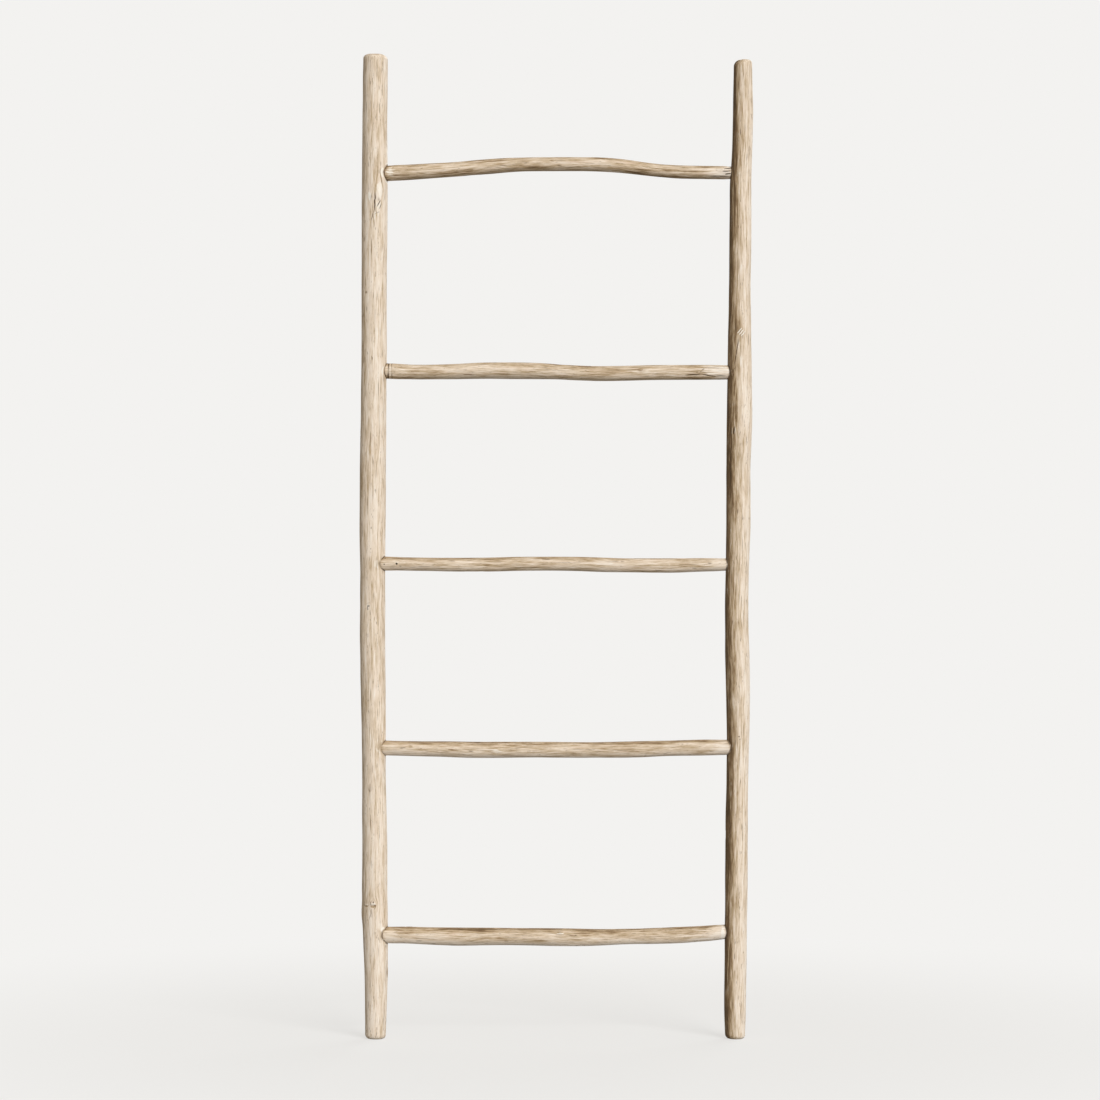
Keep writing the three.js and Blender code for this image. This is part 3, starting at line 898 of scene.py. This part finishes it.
def mortise(joint):
    """The hole for a tenon, from behind its tip out into the air, with a worn mouth."""
    bottom, mouth = joint.tip + joint.sign * MORTISE_SPARE, joint.shoulder
    inside = np.linspace(bottom, mouth + joint.sign * 7, 5)
    depth = np.concatenate([inside, mouth - joint.sign * np.arange(-6, 9, 1.0)])
    x, angle = np.meshgrid(depth, whole_turn(72), indexing="ij")
    near = smooth(1 - np.maximum(0, joint.sign * (x - mouth)) / 6)
    ragged = field(901 + int(joint.z), x, angle, 3.0, 14)
    fine = field(902 + int(joint.z), x, angle, 2.0, 30)
    r = joint.radius + MORTISE_FIT + joint.worn * near * (0.45 + 0.4 * ragged + 0.25 * fine)
    rings = np.stack([x, joint.y - r * np.cos(angle), joint.z + r * np.sin(angle)], -1)
    return rings, joint.sign < 0


def peg_box(joint):
    """A peg's tip and head along Y, the middle of its axis, and its radius."""
    low, high = (np.array(v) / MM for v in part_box(joint.peg))
    return low[1], high[1], (low + high) / 2, (high[0] - low[0]) / 2


def peg_rings(middle, r, y, angle):
    return np.stack([middle[0] + r * np.sin(angle), y, middle[2] + r * np.cos(angle)], -1)


def peg_hole(joint):
    """The hole for a peg, from in front of its tip out of the back of the stile."""
    tip, head, middle, r = peg_box(joint)
    depth = [tip - 0.4, tip + 6, head - 3, head + 5]
    y, angle = np.meshgrid(depth, whole_turn(36), indexing="ij")
    return peg_rings(middle, r + PEG_FIT, y, angle), False


def cut(piece, name, bodies):
    """Cuts closed tubes out of a piece."""
    tool = cutter(name, bodies)
    modifier = piece.modifiers.new("Cut", "BOOLEAN")
    modifier.operation = "DIFFERENCE"
    modifier.solver = "MANIFOLD"
    modifier.object = tool
    bpy.context.view_layer.update()
    graph = bpy.context.evaluated_depsgraph_get()
    made = bpy.data.meshes.new_from_object(piece.evaluated_get(graph))
    piece.modifiers.clear()
    old, piece.data = piece.data, made
    bpy.data.meshes.remove(old)
    made.name = piece.name
    shape = tool.data
    bpy.data.objects.remove(tool)
    bpy.data.meshes.remove(shape)


# ---- Marks kept on the mesh for the materials ----------------------------------------------


def write(mesh, name, values):
    kind, key = ("FLOAT_VECTOR", "vector") if values.ndim == 2 else ("FLOAT", "value")
    layer = mesh.attributes.new(name, kind, "POINT")
    layer.data.foreach_set(key, values.astype(np.float32).ravel())


BAKE_STRIPS = 2
BAKE_ROW = 0.08  # share of the map's height kept for the ends and the holes
BAKE_INSET = 0.012
END_CELL = 50  # mm across a cell that shows an end
HOLE_CELL = 60
TONE_LIMITS = (-3.2, 1.3)
SHARP = math.radians(42)


def bake_map(mesh, branch, points, deep):
    """A map with no overlaps outside: the side in strips, and the ends and holes in a row below."""
    vertex = read(mesh.loops, "vertex_index", 1, np.int32)
    first = read(mesh.polygons, "loop_start", 1, np.int32)
    count = read(mesh.polygons, "loop_total", 1, np.int32)
    face = np.repeat(np.arange(len(first)), count)
    normal = read(mesh.polygons, "normal")
    points = points[vertex]
    s, angle, _ = branch.place(points)

    def mean(values):
        return np.add.reduceat(values, first) / count

    # the side
    angle = angle[first][face] + wrapped(angle - angle[first][face])
    angle = angle - TAU * np.floor((mean(angle) + math.pi) / TAU)[face]
    length = (branch.high - branch.low) / BAKE_STRIPS
    strip = np.clip((mean(s) - branch.low) // length, 0, BAKE_STRIPS - 1)[face]
    u = (strip + BAKE_INSET + (1 - 2 * BAKE_INSET) * (angle + math.pi) / TAU) / BAKE_STRIPS
    share = (s - branch.low - strip * length) / length
    v = BAKE_ROW + BAKE_INSET + (1 - BAKE_ROW - 2 * BAKE_INSET) * share

    # a row of square cells: two ends, then each joint's hole from six directions
    ends = joints_of(branch.node)
    cells = 2 + 6 * len(ends)
    from_end = np.minimum(mean(s) - branch.low, branch.high - mean(s))
    end = (np.abs(normal[:, branch.along]) > 0.8) & (from_end < END_REACH)
    hole = (mean(deep[vertex]) > 0.5) & ~end
    places = np.array([[joint.shoulder + joint.sign * 10, joint.y, joint.z] for joint in ends])
    away = np.linalg.norm(points[:, None] - places[None], axis=2)
    nearest = np.argmin(np.stack([mean(away[:, k]) for k in range(len(ends))]), 0)
    facing = np.argmax(np.abs(normal), 1)
    side = 2 * facing + (normal[np.arange(len(normal)), facing] > 0)
    in_end = points[:, branch.across] - np.stack(branch.centre(s), -1)
    others = np.array([[1, 2], [0, 2], [0, 1]])[facing[face]]
    in_hole = np.take_along_axis(points - places[nearest[face]], others, 1)
    local = np.where(hole[face][:, None], in_hole / HOLE_CELL, in_end / END_CELL)
    local = 0.5 + 0.9 * np.clip(local, -0.5, 0.5)
    upper = mean(s) > (branch.low + branch.high) / 2
    cell = np.where(hole, 2 + 6 * nearest + side, upper)[face]
    small = (hole | end)[face]
    u = np.where(small, (cell + local[:, 0]) / cells, u)
    v = np.where(small, BAKE_ROW * local[:, 1], v)
    layer = mesh.uv_layers.new(name="OFBake")
    layer.uv.foreach_set("vector", np.stack([u, v], -1).astype(np.float32).ravel())


def places_of(mesh):
    """The points of a mesh in mm, and their normals."""
    return read(mesh.vertices, "co") / MM, read(mesh.vertex_normals, "vector")


def round_off(mesh):
    mesh.shade_smooth()
    mesh.set_sharp_from_angle(angle=SHARP)


def mark(piece, branch):
    """Writes a branch's marks on its mesh. deep is the inside of a hole, which the material darkens
    as painted shade.
    """
    mesh = piece.data
    points, normals = places_of(mesh)
    s, angle, r = branch.place(points)
    skin = skin_of(branch, s, angle)
    along = np.abs(normals[:, branch.along])
    near_end = (s < branch.low + END_REACH) | (s > branch.high - END_REACH)
    ends = smooth((along - 0.8) / 0.15) * near_end
    deep = smooth((skin.r + skin.out - r - 0.35) / 0.8) * (1 - near_end)
    turned = angle + skin.shift / np.maximum(skin.r, 1)
    from_end = np.minimum(s - branch.low, branch.high - s)
    reach = skin.r + (r - skin.r) * smooth((END_REACH - from_end) / 4)
    grain = np.stack([reach * np.cos(turned), reach * np.sin(turned), s], -1)
    write(mesh, "grain", grain + branch.seed)
    write(mesh, "ring", np.stack([r * np.cos(angle), r * np.sin(angle), s * 0], -1))
    write(mesh, "tone", np.clip(skin.tone, *TONE_LIMITS) * (1 - deep))
    write(mesh, "white", np.clip(skin.white, 0, 1) * (1 - deep))
    write(mesh, "dark", np.clip(skin.dark, 0, 1) * (1 - ends))
    write(mesh, "knot", np.clip(skin.knot, 0, 1) * (1 - deep) * (1 - ends))
    write(mesh, "ends", ends)
    write(mesh, "deep", deep)
    bake_map(mesh, branch, points, deep)
    round_off(mesh)


# ---- Materials -----------------------------------------------------------------------------


class Nodes:
    """Short names for building the node tree of a material or a world."""

    def __init__(self, owner):
        owner.use_nodes = True
        self.tree = owner.node_tree
        self.tree.nodes.clear()

    def add(self, kind, inputs=None, **settings):
        """A node with its settings, and a value or another node's output for each input."""
        node = self.tree.nodes.new(kind)
        for key, value in settings.items():
            setattr(node, key, value)
        for key, value in (inputs or {}).items():
            self.join(value, node.inputs[key])
        return node

    def join(self, value, socket):
        if isinstance(value, bpy.types.NodeSocket):
            self.tree.links.new(value, socket)
        else:
            socket.default_value = value

    def math(self, operation, *values):
        return self.add("ShaderNodeMath", dict(enumerate(values)), operation=operation).outputs[0]

    def total(self, *values):
        out = values[0]
        for value in values[1:]:
            out = self.math("ADD", out, value)
        return out

    def times(self, a, b):
        return self.math("MULTIPLY", a, b)

    def weighed(self, *pairs):
        """The sum of values, each times its weight."""
        return self.total(*[self.times(value, weight) for value, weight in pairs])

    def attribute(self, name, output="Fac"):
        return self.add("ShaderNodeAttribute", attribute_name=name).outputs[output]

    def length(self, vector):
        node = self.add("ShaderNodeVectorMath", {0: vector}, operation="LENGTH")
        return node.outputs["Value"]

    def noise(self, vector, size, detail=2.0, roughness=0.5, distortion=0.0):
        """Noise from about -1 to 1, with features about size across."""
        inputs = {"Vector": vector, "Scale": 1 / size, "Detail": detail}
        inputs.update({"Roughness": roughness, "Distortion": distortion})
        node = self.add("ShaderNodeTexNoise", inputs)
        return self.times(self.math("SUBTRACT", node.outputs[0], 0.5), 3.4)

    def between(self, value, low, high):
        """0 at low and 1 at high."""
        inputs = {"Value": value, "From Min": low, "From Max": high}
        return self.add("ShaderNodeMapRange", inputs, interpolation_type="SMOOTHSTEP").outputs[0]

    def mix(self, share, a, b):
        node = self.add("ShaderNodeMix", data_type="RGBA")
        for value, socket in ((share, "Factor"), (a, 6), (b, 7)):
            self.join(value, node.inputs[socket])
        return node.outputs[2]

    def ramp(self, value, stops):
        node = self.add("ShaderNodeValToRGB", {0: value})
        elements = node.color_ramp.elements
        while len(elements) < len(stops):
            elements.new(0.5)
        for element, (position, tint) in zip(elements, stops):
            element.position = position
            element.color = tint
        return node.outputs[0]


def colour(*levels):
    """An sRGB colour, 0 to 255, as linear light."""
    v = np.array(levels) / 255
    linear = np.where(v < 0.04045, v / 12.92, ((v + 0.055) / 1.055) ** 2.4)
    return (*linear.tolist(), 1.0)


CREAM = colour(244, 232, 217)
PALE = colour(231, 214, 194)
BEIGE = colour(211, 191, 165)
TAN = colour(181, 156, 123)
BROWN = colour(132, 107, 77)
UMBER = colour(92, 72, 50)
DARKEST_BROWN = colour(66, 46, 28)
CHALK = colour(250, 244, 233)
OLIVE = colour(176, 160, 128)
ROSE = colour(205, 165, 134)


def wood(name, depth, warmth, fine):
    """Bleached wood: streaks and fibres along the grain, pores, chalk, knots, splits and ends.

    depth darkens the whole, warmth mixes in rose, and fine scales the fibres."""
    material = bpy.data.materials.new(name)
    n = Nodes(material)
    grain, spot = n.attribute("grain", "Vector"), n.attribute("ring", "Vector")
    tone, white, dark, knot, ends, deep = (
        n.attribute(mark) for mark in ("tone", "white", "dark", "knot", "ends", "deep")
    )

    def grained(squeeze, size, *rest):
        """Noise drawn out along the grain."""
        drawn = n.add("ShaderNodeMapping", {"Vector": grain, "Scale": (1, 1, squeeze)})
        return n.noise(drawn.outputs[0], size, *rest)

    cloud = grained(0.2, 13, 3, 0.55, 0.4)
    streak = grained(0.06, 2.5 * fine, 4, 0.7, 0.15)
    fibre = grained(0.05, 1.05 * fine, 3, 0.65)
    flame = grained(0.09, 5.0 * fine, 3, 0.6, 0.5)
    speck = grained(0.13, 1.3 * fine, 2, 0.55)
    gate = grained(0.3, 9)
    line = grained(0.045, 1.9 * fine, 2, 0.5, 0.15)

    shade = n.weighed((cloud, 0.08), (flame, 0.11), (streak, 0.40), (fibre, 0.24), (tone, 0.21))
    stops = [(0, UMBER), (0.29, BROWN), (0.43, TAN), (0.61, BEIGE), (0.77, PALE), (1, CREAM)]
    base = n.ramp(n.total(shade, 0.78 - 0.71 * depth), stops)
    olive = n.times(n.between(cloud, 0.1, 1.2), n.between(flame, -0.2, 0.9))
    base = n.mix(n.times(olive, 0.3), base, OLIVE)
    base = n.mix(n.times(n.between(flame, 0.1, 1.1), warmth), base, ROSE)

    pores = n.times(n.between(speck, 0.45, 0.7), n.between(gate, -0.4, 0.3))
    base = n.mix(n.times(pores, 0.85), base, BROWN)
    lines = n.times(n.between(line, 0.42, 0.7), n.between(gate, 0.6, -0.3))
    base = n.mix(n.times(lines, 0.8), base, BROWN)
    chalk = n.between(n.weighed((speck, -0.5), (streak, 0.6), (gate, -0.4)), 0.4, 0.8)
    base = n.mix(n.times(chalk, 0.7), base, CHALK)
    chips = n.between(n.total(white, n.times(streak, 0.3), n.times(fibre, 0.2)), 0.2, 0.75)
    chips = n.times(chips, n.between(white, 0.02, 0.3))
    base = n.mix(n.times(chips, 0.9), base, CHALK)

    rings = n.math("SINE", n.times(n.weighed((tone, 3.0), (streak, 1.5)), 4.0))
    heart = n.mix(n.between(rings, -0.6, 0.9), BROWN, TAN)
    base = n.mix(n.times(knot, 0.85), base, heart)

    # cut ends: yearly rings, a little uneven, with fine specks
    wobble = n.noise(spot, 5)
    dust = n.noise(spot, 0.5, 2, 0.6)
    year = n.math("SINE", n.weighed((n.length(spot), 3.9), (wobble, 1.1)))
    end_shade = n.total(n.weighed((year, 0.13), (dust, 0.16), (wobble, 0.08)), 0.52)
    end_colour = n.ramp(end_shade, [(0.0, BROWN), (0.35, TAN), (0.75, BEIGE), (1.0, PALE)])
    base = n.mix(ends, base, end_colour)

    base = n.mix(n.times(dark, 0.6), base, BROWN)
    split = n.between(n.total(dark, n.times(fibre, 0.15), n.times(streak, 0.15)), 0.4, 0.85)
    base = n.mix(n.times(split, 0.92), base, DARKEST_BROWN)
    # painted shade: the inside of each hole is darkened
    base = n.mix(n.times(deep, 0.85), base, DARKEST_BROWN)

    height = n.weighed(
        (streak, 0.30), (fibre, 0.22), (flame, 0.30), (pores, -0.8), (lines, -0.5), (chips, 0.3),
        (chalk, 0.18), (n.times(ends, year), 0.15), (n.times(ends, dust), 0.15),
    )
    bump = n.add("ShaderNodeBump")
    bump.inputs["Strength"].default_value = 0.85
    bump.inputs["Distance"].default_value = 0.00028
    n.join(height, bump.inputs["Height"])

    shader = n.add("ShaderNodeBsdfPrincipled")
    out = n.add("ShaderNodeOutputMaterial")
    n.join(base, shader.inputs["Base Color"])
    rough = n.total(n.weighed((streak, 0.05), (pores, 0.08), (knot, -0.1)), 0.76)
    n.join(rough, shader.inputs["Roughness"])
    shader.inputs["Specular IOR Level"].default_value = 0.28
    n.join(bump.outputs[0], shader.inputs["Normal"])
    n.join(shader.outputs[0], out.inputs["Surface"])
    return material


STILE_WOOD = wood("bleached_stile_wood", 0.0, 0.16, 1.0)
RUNG_WOOD = wood("bleached_rung_wood", 0.18, 0.3, 0.85)
PEG_WOOD = wood("peg_wood", 0.22, 0.3, 0.6)

# ---- The pieces ----------------------------------------------------------------------------


def finish_piece(piece, node, material):
    piece.data.materials.clear()
    piece.data.materials.append(material)
    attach(piece, "root")
    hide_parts(node)


def branch_piece(node):
    """A stile or a rung: its shape, the holes for its joints, and its marks."""
    branch, ends = branches[node], joints_of(node)
    is_stile = node in STILES
    piece = link(stile_mesh(branch) if is_stile else rung_mesh(branch), "branch_" + node)
    if is_stile:
        cut(piece, "mortises", [mortise(joint) for joint in ends])
    cut(piece, "peg_holes", [peg_hole(joint) for joint in ends])
    mark(piece, branch)
    if is_stile:
        finish_piece(piece, node, STILE_WOOD)
    else:
        finish_piece(piece, node, RUNG_WOOD)


PEG_ORDER = sorted((joint.rung, joint.side) for joint in joints)


def peg_piece(joint):
    """A whittled peg with a tapered tip and a broken edge round its head."""
    tip, head, middle, r = peg_box(joint)
    seed = 700 + PEG_ORDER.index((joint.rung, joint.side))
    top = head - tip
    profile = [(0.4, 0), (1.2, 0), (1.8, 0), (r * 0.88, 1.2), (r, 4.0)]
    profile += [(r, y) for y in np.linspace(6, top - 0.9, 8)]
    profile += [(r * 0.985, top - 0.45), (r * 0.93, top - 0.15), (r * 0.84, top - 0.02)]
    profile += [(r * share, top) for share in (0.6, 0.3)]
    size, y, angle = np.broadcast_arrays(*np.array(profile).T[..., None], whole_turn(40))
    on_head = y > top - 0.1
    flats = np.abs(np.sin(3.5 * angle + seed)) - 0.6
    uneven = 0.05 * flats + 0.04 * field(seed, y, angle, 5, 12)
    dome = 0.12 * field(seed + 20, size, angle, 2, 5) - 0.1
    out = size * (1 + 0.3 * uneven * (size > 1))
    name = "whittled_" + joint.peg
    rings = peg_rings(middle, out, tip + y + dome * on_head, angle)
    piece = link(mesh_of(name, *tube(rings)), name)
    mesh = piece.data
    points, normals = places_of(mesh)
    across = points[:, [0, 2]] - middle[[0, 2]]
    along = points[:, 1:2]
    noise = field(seed + 3, points[:, 1], np.arctan2(across[:, 0], across[:, 1]), 6, 5)
    write(mesh, "grain", np.hstack([across, along]) + 13 * seed)
    write(mesh, "ring", np.hstack([across, 0 * along]) + np.array([2.0, 1.0, 0.0]))
    write(mesh, "tone", 0.4 * noise)
    for empty in ("white", "dark", "knot", "deep"):
        write(mesh, empty, 0 * noise)
    write(mesh, "ends", smooth((np.abs(normals[:, 1]) - 0.55) / 0.3))
    round_off(mesh)
    finish_piece(piece, joint.peg, PEG_WOOD)


for name in STILES + RUNGS:
    branch_piece(name)
for joint in joints:
    peg_piece(joint)

# ---- The stage -----------------------------------------------------------------------------

BACKGROUND = colour(243, 242, 240)
FLOOR_COLOUR = (0.8, 0.795, 0.785, 1)
FLOOR_HALF = 60.0  # m
SOFT_LIGHT = (1.0, 0.96, 0.88, 1.0)
WHITE = (1.0, 1.0, 1.0)
CAMERA_DISTANCE = 6.0  # m
CAMERA_PLACE = (-0.0097, -CAMERA_DISTANCE, 0.7447)
VIEW_SIZE = 1.6768  # width and height of the view at the rack, m


def make_floor():
    """A pale floor that fades into the background away from the rack."""
    corners = np.array([[-1, -1, 0], [1, -1, 0], [1, 1, 0], [-1, 1, 0]]) * FLOOR_HALF
    floor = link(mesh_of("floor", corners, [np.array([[0, 1, 2, 3]])]), "floor")
    material = bpy.data.materials.new("pale_floor")
    n = Nodes(material)
    place = n.add("ShaderNodeTexCoord").outputs["Object"]
    far = n.between(n.length(place), 0.35, 1.6)
    diffuse = n.add("ShaderNodeBsdfDiffuse", {"Color": FLOOR_COLOUR})
    glow = n.add("ShaderNodeEmission", {"Color": BACKGROUND})
    share = n.total(n.times(far, 0.35), 0.65)
    both = n.add("ShaderNodeMixShader", {0: share, 1: diffuse.outputs[0], 2: glow.outputs[0]})
    n.add("ShaderNodeOutputMaterial", {"Surface": both.outputs[0]})
    floor.data.materials.append(material)
    floor.visible_diffuse = False
    floor.visible_glossy = False


def make_world():
    """The background as the camera sees it, and soft light that is weaker from below."""
    world = bpy.data.worlds.new("studio")
    bpy.context.scene.world = world
    n = Nodes(world)
    place = n.add("ShaderNodeTexCoord").outputs["Generated"]
    up = n.add("ShaderNodeSeparateXYZ", {0: place}).outputs["Z"]
    span = {"Value": up, "From Min": -0.5, "From Max": 0.6, "To Min": 0.26, "To Max": 0.44}
    strength = n.add("ShaderNodeMapRange", span).outputs[0]
    soft = n.add("ShaderNodeBackground", {"Color": SOFT_LIGHT, "Strength": strength})
    plain = n.add("ShaderNodeBackground", {"Color": BACKGROUND})
    seen = n.add("ShaderNodeLightPath").outputs["Is Camera Ray"]
    both = n.add("ShaderNodeMixShader", {0: seen, 1: soft.outputs[0], 2: plain.outputs[0]})
    n.add("ShaderNodeOutputWorld", {"Surface": both.outputs[0]})


def add_sun(name, towards, energy, spread, tint):
    """A soft light that shines from a direction."""
    data = bpy.data.lights.new(name, "SUN")
    data.energy = energy
    data.angle = math.radians(spread)
    data.color = tint
    lamp = bpy.data.objects.new(name, data)
    lamp.rotation_mode = "QUATERNION"
    lamp.rotation_quaternion = Vector(towards).to_track_quat("Z", "Y")
    lamp.location = Vector(towards) * 3
    bpy.context.scene.collection.objects.link(lamp)


def make_camera():
    """Straight from the front, a little left of the middle of the rack."""
    data = bpy.data.cameras.new("camera")
    data.sensor_width = 36
    data.lens = data.sensor_width * CAMERA_DISTANCE / VIEW_SIZE
    camera = bpy.data.objects.new("camera", data)
    camera.location = CAMERA_PLACE
    camera.rotation_euler = (math.pi / 2, 0, 0)
    bpy.context.scene.collection.objects.link(camera)
    bpy.context.scene.camera = camera


make_floor()
make_world()
add_sun("key", (0.40, -0.82, 0.42), 2.4, 30, WHITE)
add_sun("back", (0.45, 0.8, 0.35), 1.1, 40, WHITE)
make_camera()
bpy.context.scene.view_settings.view_transform = "Standard"
